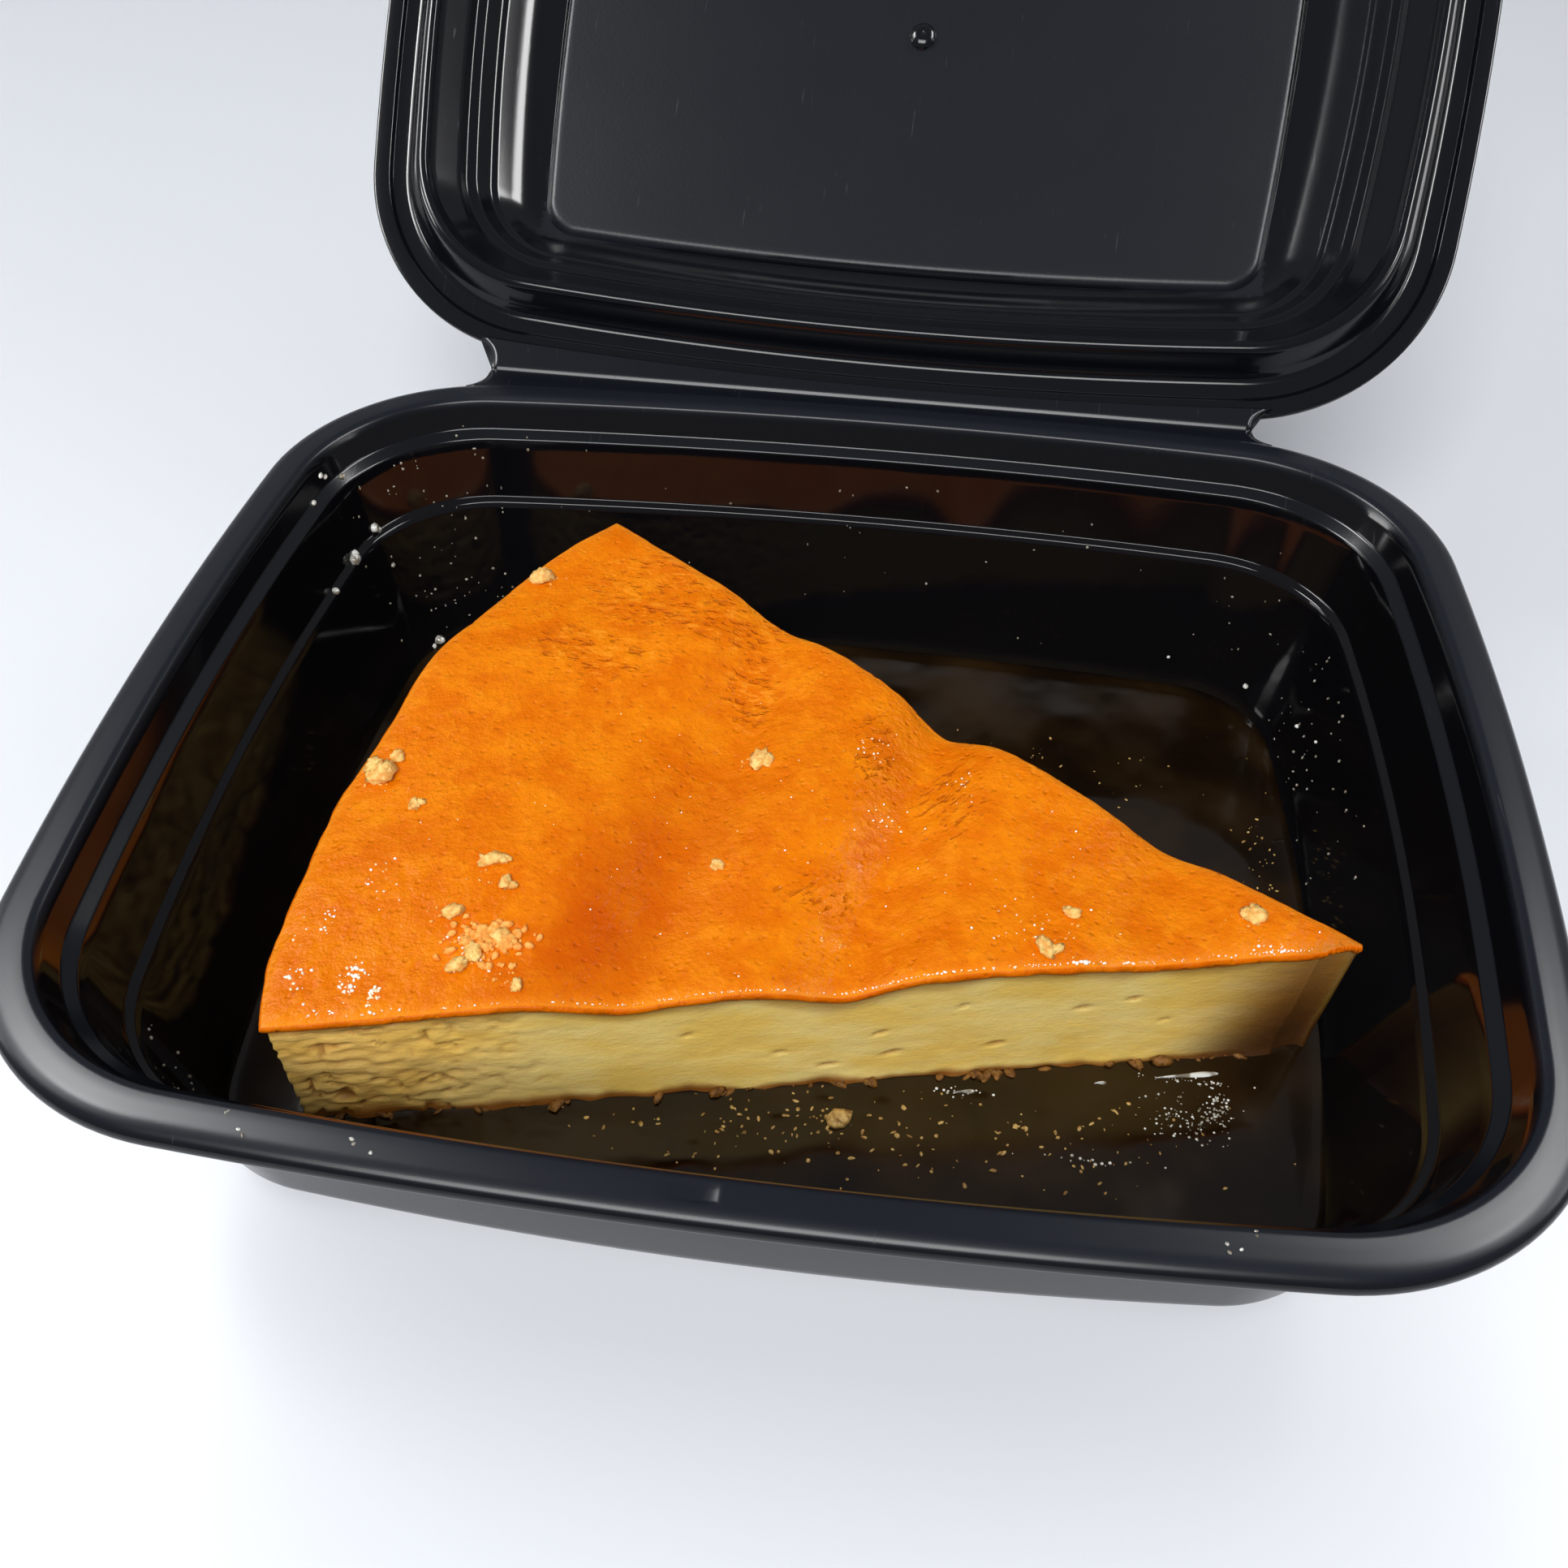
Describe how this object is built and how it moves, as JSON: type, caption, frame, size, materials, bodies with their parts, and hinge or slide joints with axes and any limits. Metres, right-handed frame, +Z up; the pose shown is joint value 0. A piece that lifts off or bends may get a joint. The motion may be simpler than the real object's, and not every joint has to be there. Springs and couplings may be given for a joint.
{
  "type": "creme caramel flan",
  "caption": "Slice of creme caramel flan with syrup and crumbs, in the hinged black take-out box that holds it, lid open.",
  "frame": {"origin": "centre of the tray's flat underside", "axes": "+Z up; +X along the hinge, to the right of someone who faces the slice's long cut; +Y from the front of the tray to its hinge and the open lid"},
  "size_m": [0.2116, 0.3205, 0.1441],
  "materials": {
    "box": "black thermoformed polypropylene, glossy inside, satin and finely pebbled on the rim and the lid's panel",
    "custard": "pale yellow set custard, moist, with small voids, browned at its lower edge",
    "caramel": "thin glossy orange-amber caramel skin with faint pits and pooled darker sauce",
    "syrup": "thin dark brown clear caramel syrup"
  },
  "bodies": {
    "tray": {"tray": "box", "custard": "custard", "caramel_top": "caramel", "syrup": "syrup"},
    "lid": {"lid": "box"}
  },
  "joints": [
    {"name": "lid_hinge", "type": "hinge", "parent": "tray", "child": "lid", "pos_m": [0, 0.0884, 0.0444], "axis": [-0.9999, 0.014, 0], "range_deg": [-145, 35]}
  ]
}
